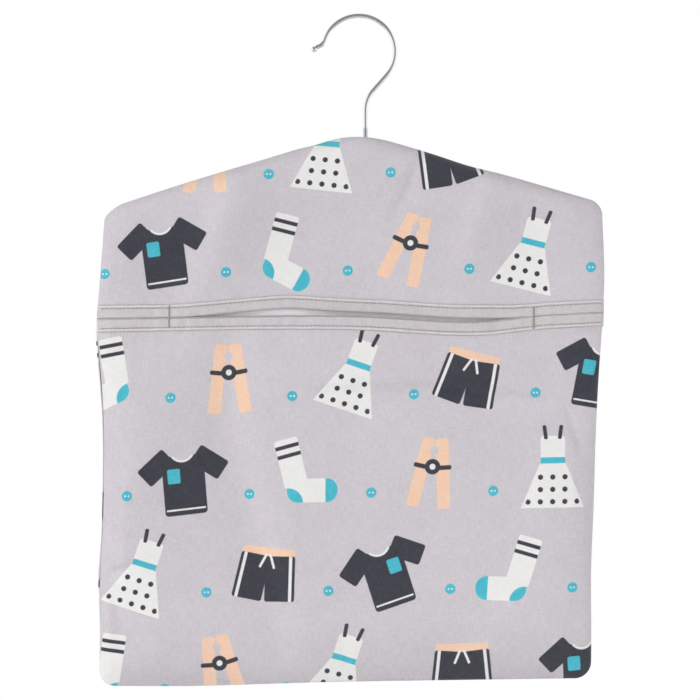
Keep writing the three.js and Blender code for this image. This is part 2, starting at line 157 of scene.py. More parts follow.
# The bands along the mouth
BAND_PROUD = 0.9 * MM  # outer ply of a band, over the panel's outside
BAND_BEHIND = 0.65 * MM  # inner ply, behind the panel's inside
PLY_THICKNESS = 0.5 * MM
EDGE_ROUND = 0.7 * MM  # the band's folded edge
NARROWING = 0.65 * MM  # of the lower band, left of the middle
NARROWING_OFFSET = -105 * MM
NARROWING_WIDTH = 60 * MM
PANEL_TUCK = 2 * MM  # the panel stops this far short of the lip, inside the band
FOLD_RADIUS = (BAND_PROUD + CLOTH_THICKNESS + BAND_BEHIND) / 2
FURROW_DEPTH = 0.3 * MM  # that the thread pulls into the band
FURROW_WIDTH = 0.8 * MM
NEEDLE_PULL = 0.4  # share of the furrow that comes and goes with the stitches
RIDGE_HEIGHT = 0.3 * MM  # between the furrow and the folded edge
RIDGE_OFFSET = 1.1 * MM
RIDGE_WIDTH = 0.6 * MM
BAND_WAVE = 0.25 * MM
BAND_WAVE_REACH = 9 * MM
BAND_WAVE_RISE = 0.6
BAND_LEAST = 0.2  # share of a band's height left on the side seams

# Stitching
STITCH_INSET = 2.5 * MM
STITCH_PITCH = 2.8 * MM
STITCH_LENGTH = 2.2 * MM
ROW_END = 2 * MM  # from the side seam
THREAD_RADIUS = 0.32 * MM
THREAD_PROUD = 0.2 * MM
TACK_STITCHES = 24
TACK_WIDTH = 1.3 * MM
TACK_THREAD = 1.2  # times as thick as in a row
TACK_OVERRUN = 0.8 * MM  # inset of a tack's longer end from the band's folded edge

# Seams: where front and back meet, as an angle round the rolled edge towards the front
ROLL_RADIUS = 2 * MM
ROLL_SHARE = 0.05  # of a panel's rows or columns
LEFT_TURN = math.radians(62)
PLAIN_TURN = math.radians(8)
TURN_FROM_BOTTOM = (10 * MM, 60 * MM)  # between these the left seam comes round to the front
TURN_FROM_SHOULDER = (4 * MM, 30 * MM)
ALLOWANCE_WIDTH = 9 * MM
ALLOWANCE_INSET = 0.5 * MM
ALLOWANCE_THICKNESS = 0.8 * MM
ALLOWANCE_END = 1 * MM  # short of the bag's corners
SHOULDER_ALLOWANCE = (1.5 * MM, 3 * MM)  # below the top edge
STEM_GAP = 4 * MM  # from the stem to where the shoulder allowances start
OVERSEW_PITCH = 3.4 * MM
OVERSEW_REACH = (0.72, 1.03)  # across an allowance
OVERSEW_SLANT = (0.2, 0.8)  # along one stitch's share of it
OVERSEW_RADIUS = 0.72 * ALLOWANCE_THICKNESS

# Parting of front and back at the top seam, to let the stem through
PARTING_CLEARANCE = 0.3 * MM
PARTING_WIDTH = 5 * MM
PARTING_HEIGHT = 6 * MM

CORNER_THINNED = 0.1  # share of a sheet's thickness left at its corners, where edges meet askew

# Columns and rows of each sheet
BACK_GRID = (180, 170)
UPPER_GRID = (230, 90)
LOWER_GRID = (230, 165)
BAND_GRID = (360, 52)


def lerp(a, b, t):
    return a + (b - a) * t


def smooth(value, low, high):
    t = min(1, max(0, (value - low) / (high - low)))
    return t * t * (3 - 2 * t)


def hump(x, at, reach):
    return math.exp(-(((x - at) / reach) ** 2))


# The bag's outline in its own upright frame


def strayed(place, eases):
    """How far a worn edge is from its cut at a place along it."""
    return sum(height * MM * hump(place, at * MM, reach * MM) for at, reach, height in eases)


def half_width(z):
    return BAG_WIDTH / 2 + MOUTH_FLARE * hump(z, MOUTH_Z, FLARE_ABOVE if z > MOUTH_Z else FLARE_BELOW)


def left_edge(z):
    return -half_width(z) - strayed(z, LEFT_EASE)


def right_edge(z):
    return half_width(z) + strayed(z, RIGHT_EASE)


def bottom_edge(x):
    return BOTTOM_Z + strayed(x, BOTTOM_EASE)


def corner_inset(from_edge, radius):
    if from_edge >= radius:
        return 0
    return radius - math.sqrt(max(0, radius**2 - (radius - from_edge) ** 2))


ARCH_DROP = 1 / math.cos(SHOULDER_SLOPE) - 1
SHOULDER_Z = TOP_Z + ARCH_RADIUS * ARCH_DROP - math.tan(SHOULDER_SLOPE) * BAG_WIDTH / 2


def top_edge(x):
    arch_end = ARCH_RADIUS * math.sin(SHOULDER_SLOPE)
    across = abs(x)
    arch_middle = TOP_Z - ARCH_RADIUS
    if across < arch_end:
        edge = arch_middle + math.sqrt(ARCH_RADIUS**2 - x**2)
    else:
        edge = arch_middle + ARCH_RADIUS * math.cos(SHOULDER_SLOPE)
        edge -= math.tan(SHOULDER_SLOPE) * (across - arch_end)
    edge -= corner_inset(max(0, half_width(SHOULDER_Z) - across), SHOULDER_CORNER)
    return edge + strayed(x, TOP_EASE)


def shut_gap(x):
    """Between the lips where they lie shut."""
    return SLIT_GAP + LEFT_GAP * smooth(-x, LEFT_GAP_START, LEFT_GAP_END)


def lower_lip(x):
    sag = SAG_DEPTH * hump(x, SAG_OFFSET, SAG_LEFT if x < SAG_OFFSET else SAG_RIGHT)
    sag += END_SAG_DEPTH * hump(x, END_SAG_OFFSET, END_SAG_WIDTH)
    return MOUTH_Z + LIP_LIFT - shut_gap(x) / 2 - sag


def upper_lip(x):
    open_share = smooth(x, -HALF_MOUTH, GAPE_LEFT) * smooth(-x, -HALF_MOUTH, -GAPE_RIGHT)
    gape = SLIT_GAPE + CREST_HEIGHT * hump(x, CREST_OFFSET, CREST_WIDTH)
    return lower_lip(x) + shut_gap(x) + gape * open_share


# How far each face stands from the seam plane


def belly_share(z):
    return smooth(TOP_Z - z, BELLY_START, BELLY_END)


def draw_share(x, z):
    return smooth(top_edge(x) - z, DRAW_START, DRAW_END)


def edge_share(x, z):
    power = lerp(SHOULDER_POWER, BELLY_POWER, draw_share(x, z))
    side = 1 - min(1, abs(x) / half_width(z)) ** power
    top = 1 - math.exp(-max(0, top_edge(x) - z) / TOP_ROUND)
    bottom = 1 - math.exp(-max(0, z - BOTTOM_Z) / BOTTOM_ROUND)
    return min(1, FLAT_GAIN * side * top * bottom)


def back_depth(x, z):
    return lerp(HANGER_DEPTH, DRAWN_DEPTH, draw_share(x, z)) * edge_share(x, z)


def upper_depth(x, z):
    belly = (BELLY_DEPTH - DRAWN_DEPTH) * belly_share(z)
    return back_depth(x, z) + belly * edge_share(x, z)


def mouth_bow(x):
    return (1 - min(1, abs(x) / HALF_MOUTH) ** 2) ** 2


def lower_depth(x, z):
    below = max(0, lower_lip(x) - z)
    return upper_depth(x, z) + LIP_BOW * mouth_bow(x) * math.exp(-below / LIP_BOW_HEIGHT)


def back_dent(x, z):
    along = min(1, abs(x) / HALF_MOUTH)
    dent = BACK_DENT * (1 - along**4) + CREST_DENT * hump(x, CREST_OFFSET, CREST_WIDTH)
    return dent * hump(z, MOUTH_Z, DENT_HEIGHT)


def middle_at(z):
    return CENTRE_OFFSET + SIDE_LEAN * (z - SHOULDER_Z)


def hang(x, y, z):
    return Vector((x + middle_at(z), y, z + SEAM_TILT * x))


# Creases and undulations of the cloth, added to its depth

# Undulations: height in millimetres, reach, squeeze that makes them tall, share left on the bar, seed
WAVES = [(1.6, 52 * MM, 0.5, 0.35, 0), (0.4, 22 * MM, 0.6, 0.4, 5)]
BAR_HOLDS = 10 * MM  # below the top edge, where the bar keeps the cloth smooth
BAR_FREES = 45 * MM
CREASE_GAIN = 1.4  # how soon creases reach their height, away from the edges
SEAM_BULK = 0.7 * MM  # the seam's allowance, showing through beside it
BULK_FULL = 7 * MM  # from the side edge
BULK_END = 13 * MM
BULK_GAIN = 4
PUCKER_HEIGHT = 0.3 * MM
PUCKER_REACH = 7 * MM
FINE_PUCKER = 0.6
FINE_PUCKER_REACH = 3.4 * MM
PUCKER_FADE = 9 * MM
FRONT_SEED = 3
BACK_SEED = 29
UPPER_PUCKER_SEED = 11
LOWER_PUCKER_SEED = 17
BAND_SEED = 41

# Folds and creases of the front, in millimetres: from, to, widths, height
FRONT_CREASES = [
    ((-70, -94), (-103, -188), (14, 24), 7),
    ((41, -95), (24, -131), (2.2, 9), -2.4),
    ((93, -104), (70, -174), (9, 18), 3.8),
    ((-79, -204), (-80, -285), (20, 12), -3.6),
    ((-82, -262), (-36, -430), (18, 11), -5.6),
    ((-137, -246), (-147, -338), (12, 26), 4.6),
    ((-34, -249), (64, -245), (26, 5), -3.8),
    ((48, -245), (150, -258), (26, 5), -4.6),
    ((143, -260), (153, -290), (3, 6), -3),
    ((130, -280), (128, -390), (13, 20), 2.8),
    ((118, -380), (89, -428), (16, 34), 3.2),
    ((-168, -369), (-140, -358), (4.5, 3), -2.8),
    ((-158, -366), (-148, -399), (5, 4), -2.4),
    ((-146, -372), (-146, -432), (10, 14), -3.2),
    ((-168, -225), (-148, -217), (5, 3), -2.2),
    ((-165, -419), (-146, -411), (5, 3), -2),
    ((-1, -440), (-3, -408), (3, 6), -2.4),
    ((164, -205), (149, -210), (1.8, 3), -2.2),
]
CREASE_REACH = 3  # widths from its line at which a crease ends
CREASE_ENDS = 0.1  # share of half a wave that is left out at either end of a crease


def wander(x, z, reach, seed):
    return noise.noise(Vector((x / reach, seed, z / reach)))


def crease(x, z, start, end, widths, height):
    """Fold or furrow along a line, as wide on its right hand and on its left as widths say."""
    run_x, run_z = end[0] - start[0], end[1] - start[1]
    from_x, from_z = x - start[0], z - start[1]
    along = (from_x * run_x + from_z * run_z) / (run_x**2 + run_z**2)
    along = min(1, max(0, along))
    width = widths[0] if from_x * run_z > from_z * run_x else widths[1]
    off = math.hypot(from_x - run_x * along, from_z - run_z * along) / width
    if off >= CREASE_REACH:
        return 0
    swell = math.sin(math.pi * lerp(CREASE_ENDS, 1 - CREASE_ENDS, along))
    return height * math.exp(-off * off) * swell


def crumple(x, z, seed, creases):
    """Depth that undulations, creases and the side seams' bulk give a panel."""
    free = smooth(top_edge(x) - z, BAR_HOLDS, BAR_FREES)
    depth = 0
    for height, reach, squeeze, held, step in WAVES:
        depth += height * wander(x, squeeze * z, reach, seed + step) * lerp(held, 1, free)
    for start, end, widths, height in creases:
        depth += crease(x / MM, z / MM, start, end, widths, height)
    bulk = SEAM_BULK * (1 - smooth(half_width(z) - abs(x), BULK_FULL, BULK_END))
    share = edge_share(x, z)
    return depth * MM * min(1, CREASE_GAIN * share) + bulk * min(1, BULK_GAIN * share)


def pucker(x, from_band, seed):
    ripple = wander(x, 0, PUCKER_REACH, seed) + FINE_PUCKER * wander(x, 0, FINE_PUCKER_REACH, seed + 3)
    return PUCKER_HEIGHT * ripple * math.exp(-max(0, from_band) / PUCKER_FADE)


STEM_X = STEM_OFFSET - middle_at(TOP_Z)  # the stem's place in the upright bag


def stem_parting(x, z):
    """Front and back part at the top seam to let the stem through."""
    inside = max(0, top_edge(x) - z)
    parting = (WIRE_RADIUS + PARTING_CLEARANCE) * hump(x, STEM_X, PARTING_WIDTH)
    return parting * math.exp(-inside / PARTING_HEIGHT)


def rolled(t, span, radius, first, last):
    """Distance from the first edge, and height up the roll from 0 to 1, of a strip whose edges
    roll from an angle to square; an edge with no angle stays flat."""
    low, high, start, stop = 0, 1, 0, span
    if first is not None:
        if t < ROLL_SHARE:
            angle = lerp(first, math.pi / 2, t / ROLL_SHARE)
            return radius * (1 - math.cos(angle)), math.sin(angle)
        low, start = ROLL_SHARE, radius
    if last is not None:
        if t > 1 - ROLL_SHARE:
            angle = lerp(last, math.pi / 2, (1 - t) / ROLL_SHARE)
            return span - radius * (1 - math.cos(angle)), math.sin(angle)
        high, stop = 1 - ROLL_SHARE, span - radius
    return lerp(start, stop, (t - low) / (high - low)), 1


def left_turn(z):
    """The left seam lies on the front, except near the bag's corners."""
    ends = smooth(z - BOTTOM_Z, *TURN_FROM_BOTTOM) * smooth(SHOULDER_Z - z, *TURN_FROM_SHOULDER)
    return lerp(PLAIN_TURN, LEFT_TURN, ends)


# The panels' outer faces: (u, v) from 0 to 1, across and up, to a point of the upright bag


def upper_outside(x, z, lift):
    ripple = pucker(x, z - upper_lip(x) - UPPER_BAND_HEIGHT, UPPER_PUCKER_SEED)
    folds = crumple(x, z, FRONT_SEED, FRONT_CREASES)
    return ROLL_RADIUS * lift + upper_depth(x, z) + folds + ripple * lift


def lower_outside(x, z, lift):
    ripple = pucker(x, lower_lip(x) - LOWER_BAND_HEIGHT - z, LOWER_PUCKER_SEED)
    folds = crumple(x, z, FRONT_SEED, FRONT_CREASES)
    return ROLL_RADIUS * lift + lower_depth(x, z) + folds + ripple * lift


def across_bag(u, z, inset, face=1):
    """Place from left to right between the side seams, and height up the roll; face is 1 for a
    front panel and -1 for the back."""
    left = left_edge(z) + inset
    right = right_edge(z) - inset
    run, lift = rolled(u, right - left, ROLL_RADIUS, face * left_turn(z), face * PLAIN_TURN)
    return left + run, lift


def upper_front(u, v):
    fall, lift_up = rolled(1 - v, SHOULDER_Z - MOUTH_Z, ROLL_RADIUS, PLAIN_TURN, None)
    x, lift = across_bag(u, SHOULDER_Z - fall, 0)
    drop = (top_edge(x) - upper_lip(x) - PANEL_TUCK) / (SHOULDER_Z - MOUTH_Z)
    z = top_edge(x) - (fall if fall < ROLL_RADIUS else ROLL_RADIUS + (fall - ROLL_RADIUS) * drop)
    return x, -upper_outside(x, z, min(lift, lift_up)) - stem_parting(x, z), z


def lower_front(u, v):
    rise, lift_up = rolled(v, MOUTH_Z - BOTTOM_Z, ROLL_RADIUS, PLAIN_TURN, None)
    x, lift = across_bag(u, BOTTOM_Z + rise, corner_inset(rise, BOTTOM_CORNER))
    height = lower_lip(x) - PANEL_TUCK - bottom_edge(x)
    z = bottom_edge(x) + rise * height / (MOUTH_Z - BOTTOM_Z)
    return x, -lower_outside(x, z, min(lift, lift_up)), z


def back(u, v):
    rise, lift_up = rolled(v, SHOULDER_Z - BOTTOM_Z, ROLL_RADIUS, -PLAIN_TURN, -PLAIN_TURN)
    x, lift = across_bag(1 - u, BOTTOM_Z + rise, corner_inset(rise, BOTTOM_CORNER), -1)
    z = bottom_edge(x) + rise * (top_edge(x) - bottom_edge(x)) / (SHOULDER_Z - BOTTOM_Z)
    depth = ROLL_RADIUS * min(lift, lift_up) + back_depth(x, z) + crumple(x, z, BACK_SEED, [])
    return x, depth + stem_parting(x, z) - back_dent(x, z), z


def strip_length(ply):
    """A band's width before it is folded over the lip."""
    return 2 * ply + math.pi * FOLD_RADIUS


def band(outside, lip, away, ply, narrowing):
    """Face of a band that is folded over its panel's edge, from the folded edge in front, round
    the lip and along behind: (u, v) to a point of the upright bag."""
    bend = math.pi * FOLD_RADIUS

    def place(u, v):
        x, lift = across_bag(u, MOUTH_Z, 0)
        at = v * strip_length(ply)
        if at < ply:
            inside, up = rolled(at / ply * 0.5, 2 * ply, EDGE_ROUND, 0, None)
            from_lip = ply - inside
            proud = BAND_PROUD * up
            from_row = from_lip - (ply - STITCH_INSET)
            needle = 1 - NEEDLE_PULL + NEEDLE_PULL * math.cos(2 * math.pi * x / STITCH_PITCH)
            proud -= FURROW_DEPTH * needle * hump(from_row, 0, FURROW_WIDTH)
            proud += RIDGE_HEIGHT * hump(from_row, RIDGE_OFFSET, RIDGE_WIDTH)
        elif at < ply + bend:
            angle = (at - ply) / FOLD_RADIUS
            from_lip = -FOLD_RADIUS * math.sin(angle)
            proud = BAND_PROUD - FOLD_RADIUS * (1 - math.cos(angle))
        else:
            from_lip = at - ply - bend
            proud = -CLOTH_THICKNESS - BAND_BEHIND
        from_lip += FOLD_RADIUS * hump(from_lip, 0, FOLD_RADIUS)
        from_lip *= 1 - narrowing * hump(x, NARROWING_OFFSET, NARROWING_WIDTH) / ply
        z = lip(x) + away * from_lip
        wave = BAND_WAVE * wander(x, 0, BAND_WAVE_REACH, BAND_SEED + away)
        y = -outside(x, z, lift) - proud * max(BAND_LEAST, lift) - wave * lift
        return x, y, z + wave * BAND_WAVE_RISE

    return place


UPPER_BAND = band(upper_outside, upper_lip, 1, UPPER_BAND_HEIGHT, 0)
LOWER_BAND = band(lower_outside, lower_lip, -1, LOWER_BAND_HEIGHT, NARROWING)
UPPER_STRIP = strip_length(UPPER_BAND_HEIGHT)
LOWER_STRIP = strip_length(LOWER_BAND_HEIGHT)

# Pieces

OUTWARD = Vector((0, -1, 0))
POLES_ALONG = Matrix.Rotation(math.pi / 2, 4, "Y")
BEAD_SIDES = 6
ALLOWANCE_ROWS = 3
SIDE_STEPS = 60
SHOULDER_STEPS = 40


def piece_from(name, mesh, paints, smooth_shaded=True):
    data = bpy.data.meshes.new(name)
    mesh.to_mesh(data)
    mesh.free()
    for polygon in data.polygons:
        polygon.use_smooth = smooth_shaded
    for paint in paints:
        data.materials.append(paint)
    piece = bpy.data.objects.new(name, data)
    bpy.context.collection.objects.link(piece)
    return piece


def cloth_piece(name, grid, place, paints, thickness, strip=None, turn_over=False):
    """A sheet of cloth with its flat cut as a UV map in metres; for a folded strip its width is
    given."""
    columns, rows = grid
    cloth = bmesh.new()
    cut = cloth.loops.layers.uv.new("cut")
    bmesh.ops.create_grid(cloth, x_segments=columns, y_segments=rows, size=0.5)
    flat = {}
    for vert in cloth.verts:
        u, v = vert.co.x + 0.5, vert.co.y + 0.5
        x, y, z = place(u, v)
        vert.co = hang(x, y, z)
        flat[vert] = (x, v * strip if strip else z)
    for face in cloth.faces:
        for loop in face.loops:
            loop[cut].uv = flat[loop.vert]
    if turn_over:
        bmesh.ops.reverse_faces(cloth, faces=cloth.faces[:])
    piece = piece_from(name, cloth, paints)
    full = piece.vertex_groups.new(name="full_thickness")
    last = len(piece.data.vertices) - 1
    full.add(range(last + 1), 1, "REPLACE")
    full.add([0, columns, last - columns, last], CORNER_THINNED, "REPLACE")
    solidify = piece.modifiers.new("thickness", "SOLIDIFY")
    solidify.thickness = thickness
    solidify.vertex_group = full.name
    solidify.offset = -1
    solidify.material_offset = len(paints) - 1
    solidify.material_offset_rim = len(paints) - 1
    return piece


def add_stitch(thread, start, end, radius):
    """One stitch: a slim bead from start to end, half sunk into the cloth."""
    along = (end - start).normalized()
    across = along.cross(OUTWARD).normalized()
    out = across.cross(along)
    stretch = Matrix((along * (end - start).length / 2, across * radius, out * radius))
    seat = Matrix.Translation((start + end) / 2) @ stretch.transposed().to_4x4() @ POLES_ALONG
    bmesh.ops.create_uvsphere(
        thread, u_segments=BEAD_SIDES, v_segments=BEAD_SIDES, radius=1, matrix=seat
    )


def band_row(ply, inset):
    """A band's v so far in from its folded edge in front."""
    share = ROLL_SHARE + (1 - ROLL_SHARE) * (inset - EDGE_ROUND) / (2 * ply - EDGE_ROUND)
    return share * 2 * ply / strip_length(ply)


def across_to_u(x):
    """The u of a place across the bag at the height of its mouth."""
    left = left_edge(MOUTH_Z) + ROLL_RADIUS
    right = right_edge(MOUTH_Z) - ROLL_RADIUS
    return ROLL_SHARE + (1 - 2 * ROLL_SHARE) * (x - left) / (right - left)


def topstitch(name, place, ply, paint):
    """A row of stitches along a band, beside its folded edge."""
    thread = bmesh.new()
    row = band_row(ply, STITCH_INSET)
    count = int((half_width(MOUTH_Z) - ROW_END) / STITCH_PITCH)
    for number in range(-count, count):
        first = number * STITCH_PITCH + (STITCH_PITCH - STITCH_LENGTH) / 2
        ends = []
        for x in (first, first + STITCH_LENGTH):
            ends.append(hang(*place(across_to_u(x), row)) + OUTWARD * THREAD_PROUD)
        add_stitch(thread, ends[0], ends[1], THREAD_RADIUS)
    return piece_from(name, thread, [paint])


def bar_tack(name, side, low_inset, high_inset, paint):
    """A short upright bar of close slanted stitches that shuts one end of the mouth."""
    thread = bmesh.new()
    u = across_to_u(side * HALF_MOUTH)
    low = hang(*LOWER_BAND(u, band_row(LOWER_BAND_HEIGHT, low_inset)))
    high = hang(*UPPER_BAND(u, band_row(UPPER_BAND_HEIGHT, high_inset)))
    proud = OUTWARD * THREAD_PROUD
    over = Vector((TACK_WIDTH / 2, 0, 0))
    for number in range(TACK_STITCHES):
        start = low.lerp(high, number / TACK_STITCHES) + proud
        end = low.lerp(high, (number + 1) / TACK_STITCHES) + proud
        add_stitch(thread, start - over, end + over, THREAD_RADIUS * TACK_THREAD)
    return piece_from(name, thread, [paint])


def allowance(name, steps, place, paint, thread_paint):
    """A seam allowance: a strip whose free edge is oversewn."""
    strip = bmesh.new()
    bmesh.ops.create_grid(strip, x_segments=steps, y_segments=ALLOWANCE_ROWS, size=0.5)
    behind = Vector((0, ALLOWANCE_THICKNESS / 2, 0))
    for vert in strip.verts:
        vert.co = place(vert.co.x + 0.5, vert.co.y + 0.5) + behind
    bmesh.ops.solidify(strip, geom=strip.faces[:], thickness=ALLOWANCE_THICKNESS)
    cloth_faces = len(strip.faces)
    count = int((place(1, 0) - place(0, 0)).length / OVERSEW_PITCH)
    for number in range(count):
        inner, edge = [
            place((number + along) / count, reach)
            for along, reach in zip(OVERSEW_SLANT, OVERSEW_REACH)
        ]
        add_stitch(strip, inner, edge, OVERSEW_RADIUS)
    piece = piece_from(name, strip, [paint, thread_paint], False)
    for polygon in piece.data.polygons[cloth_faces:]:
        polygon.material_index = 1
        polygon.use_smooth = True
    return piece


# Shader maths


class Value:
    """A shader socket that takes part in Python sums."""

    def __init__(self, paint, socket):
        self.paint = paint
        self.socket = socket

    def math(self, operation, *others, clamp=False):
        settings = {"operation": operation, "use_clamp": clamp}
        return self.paint.node("ShaderNodeMath", settings, [self, *others])

    def __add__(self, other):
        return self.math("ADD", other)

    __radd__ = __add__

    def __sub__(self, other):
        return self.math("SUBTRACT", other)

    def __rsub__(self, other):
        return self.paint.node("ShaderNodeMath", {"operation": "SUBTRACT"}, [other, self])

    def __mul__(self, other):
        return self.math("MULTIPLY", other)

    __rmul__ = __mul__

    def __truediv__(self, other):
        return self.math("DIVIDE", other)

    def __neg__(self):
        return self.math("MULTIPLY", -1)

    def __abs__(self):
        return self.math("ABSOLUTE")

    def lower(self, other):
        return self.math("MINIMUM", other)

    def higher(self, other):
        return self.math("MAXIMUM", other)

    def floor(self):
        return self.math("FLOOR")

    def sqrt(self):
        return self.math("SQRT")

    def modulo(self, period):
        return self.math("FLOORED_MODULO", period)

    def ease(self, low, high):
        """0 below low, 1 above high, smooth between."""
        sockets = {"Value": self, "From Min": low, "From Max": high}
        return self.paint.node("ShaderNodeMapRange", {"interpolation_type": "SMOOTHSTEP"}, sockets)

    def between(self, low, high, soft):
        return self.ease(low - soft, low + soft) * (1 - self.ease(high - soft, high + soft))


class Paint:
    """Nodes of one material or world."""

    def __init__(self, owner):
        owner.use_nodes = True
        self.owner = owner
        self.tree = owner.node_tree
        self.tree.nodes.clear()

    def node(self, kind, settings=(), sockets=(), output=0):
        """Adds a node: its settings first, then the values or links of its sockets."""
        made = self.tree.nodes.new(kind)
        for name, value in dict(settings).items():
            setattr(made, name, value)
        pairs = sockets.items() if isinstance(sockets, dict) else enumerate(sockets)
        for key, value in pairs:
            if isinstance(value, Value):
                self.tree.links.new(value.socket, made.inputs[key])
            else:
                made.inputs[key].default_value = value
        return Value(self, made.outputs[output]) if made.outputs else None

    def layer(self, under, over, cover):
        """One colour over another where cover is 1."""
        return self.node("ShaderNodeMix", {"data_type": "RGBA"}, {0: cover, 6: under, 7: over}, 2)

    def noise(self, place, scale, detail=2):
        sockets = {"Vector": place, "Scale": scale, "Detail": detail}
        return self.node("ShaderNodeTexNoise", {}, sockets)

    def bump(self, height, strength, distance):
        sockets = {"Strength": strength, "Distance": distance, "Height": height}
        return self.node("ShaderNodeBump", {}, sockets, "Normal")

    def stretched(self, place, scale):
        return self.node("ShaderNodeMapping", {}, {"Vector": place, "Scale": scale})

    def along_axis(self, place, axis):
        return self.node("ShaderNodeSeparateXYZ", {}, [place], axis)

    def object_place(self):
        return self.node("ShaderNodeTexCoord", {}, {}, "Object")

    def cut_place(self):
        return self.node("ShaderNodeUVMap", {"uv_map": "cut"})

    def finish(self, sockets):
        shader = self.node("ShaderNodeBsdfPrincipled", {}, sockets)
        self.node("ShaderNodeOutputMaterial", {}, {"Surface": shader})
        return self.owner


def colour(red, green, blue):
    """A colour read off as 0 to 255, in the renderer's linear light."""
    parts = [part / 255 for part in (red, green, blue)]
    linear = [part / 12.92 if part < 0.04045 else ((part + 0.055) / 1.055) ** 2.4 for part in parts]
    return (*linear, 1)


def new_paint(name):
    return Paint(bpy.data.materials.new(name))


GROUND = colour(206, 201, 207)
GROUND_DARK = colour(198, 193, 195)
BAND_GROUND = colour(212, 207, 211)
# painted highlight on a band's folded ridge, standing also for its wear
WORN_AND_HIGHLIGHT = colour(228, 224, 225)
# painted shade: the dark line along a band's folded edge and in its stitched furrow
PAINTED_SHADE = colour(178, 173, 170)
# painted shade in the slit between the lips
LIP_PAINTED_SHADE = colour(164, 159, 156)
# painted shade: the ground darker towards the bottom edge
HEM_PAINTED_SHADE = colour(180, 175, 179)
CHARCOAL = colour(70, 70, 79)
WHITE_INK = colour(234, 233, 231)
PEACH = colour(245, 204, 180)
TEAL = colour(84, 187, 204)

# Printed figures, drawn as distances in millimetres from their edges


def moved(p, x, y):
    return p[0] - x, p[1] - y


def turned(p, degrees):
    c, s = math.cos(math.radians(degrees)), math.sin(math.radians(degrees))
    return p[0] * c + p[1] * s, p[1] * c - p[0] * s


def disc(p, x, y, radius):
    dx, dy = moved(p, x, y)
    return (dx * dx + dy * dy).sqrt() - radius


def slab(p, x, y, half_x, half_y, corner=0):
    dx, dy = moved(p, x, y)
    over_x = abs(dx) - (half_x - corner)
    over_y = abs(dy) - (half_y - corner)
    if not corner:
        return over_x.higher(over_y)
    out_x, out_y = over_x.higher(0), over_y.higher(0)
    return (out_x * out_x + out_y * out_y).sqrt() + over_x.higher(over_y).lower(0) - corner


def shirt(p):
    folded = (abs(p[0]), p[1])
    sleeve = slab(turned(moved(folded, 15, 8.5), -38), 0, 0, 9.5, 6, 1.5)
    neck = disc(p, 0, 17.5, 6)
    body = slab(p, 0, -3, 12, 17, 2).lower(sleeve).higher(-neck)
    collar = (abs(neck - 0.7) - 0.7).higher(body)
    hem = slab(p, 0, -16.8, 11, 0.5)
    pocket = slab(p, 5.6, 2.5, 3.6, 4.2, 1)
    return {"charcoal": [body], "top": [collar, hem], "teal": [pocket]}


def sock(p):
    leg = slab(p, -6, 8, 6.8, 14, 1.5)
    toe_place = turned(moved(p, 2, -10.5), -14)
    foot = slab(toe_place, 0, 0, 14.5, 6.8, 6.5)
    whole = leg.lower(foot)
    toe = foot.higher(7.5 - toe_place[0])
    heel = whole.higher(disc(p, -13, -14, 8.5))
    stripes = leg.higher(abs(abs(p[1] - 15) - 2.6) - 1.1)
    return {"white": [whole], "teal": [toe, heel], "charcoal": [stripes]}


def pegs(p):
    q = turned(moved((abs(p[0]), p[1]), 6.4, 0), 8)
    leg = slab(q, 0, 0, 3.7, 20, 1.6)
    jaw = disc(p, 0, 13, 2.3)
    coil = disc(p, 0, 3.5, 4.4)
    eye = disc(p, 0, 3.5, 1.7)
    spring = slab(q, 0, 3.5, 4.9, 1.3, 1).lower(coil)
    return {"peach": [leg.higher(-jaw)], "charcoal": [spring], "top": [eye]}


def dress(p):
    folded = (abs(p[0]), p[1])
    skirt = ((folded[0] - 9.2 + p[1] * 0.42) * 0.92).higher(p[1] - 7).higher(-21 - p[1])
    whole = slab(p, 0, 12, 7, 8, 2).lower(skirt)
    strap = slab(turned(moved(folded, 4.4, 22), -8), 0, 0, 1.1, 4, 0.8)
    belt = whole.higher(abs(p[1] - 6) - 1.7)
    spot_place = ((p[0] + 3.5).modulo(7) - 3.5, p[1].modulo(7) - 3.5)
    spots = disc(spot_place, 0, 0, 1.5).higher(skirt + 1.2).higher(p[1] - 1.5)
    return {"white": [whole], "charcoal": [strap, spots], "teal": [belt]}


def shorts(p):
    folded = (abs(p[0]), p[1])
    leg_place = turned(moved(folded, 8.2, -3), 6)
    leg = slab(leg_place, 0, 0, 8.6, 13, 1.4)
    waist = slab(p, 0, 11.5, 15, 2.8, 1)
    stripe = leg.higher(abs(leg_place[0] - 6) - 0.9)
    cord = slab(turned(moved(folded, 2.6, 6.5), 22), 0, 0, 0.7, 4.4, 0.6)
    return {"charcoal": [leg], "peach": [waist], "top": [stripe, cord]}


def button(p):
    round_edge = disc(p, 2, -12, 3.4)
    holes = disc((abs(p[0] - 2), p[1]), 1.1, -12, 0.6)
    return {"teal": round_edge, "top": holes}


FIGURES = [shirt, sock, pegs, dress, shorts]
# Inks from the first printed to the last
INKS = {"white": WHITE_INK, "peach": PEACH, "charcoal": CHARCOAL, "teal": TEAL, "top": WHITE_INK}
PRINT_PITCH = 80  # millimetres from figure to figure in a row
PRINT_ROW = 64  # and from row to row
PRINT_SHIFT = 27  # each row starts this much further along
PRINT_WANDER = 6  # along the row
ROW_WANDER = 4.2  # across it
PRINT_TILT = 0.7  # radians, from one extreme to the other
FIGURE_SCALE = 1.15
INK_SOFTNESS = 0.35
FAR = 90  # puts a figure out of the cells that aren't its own


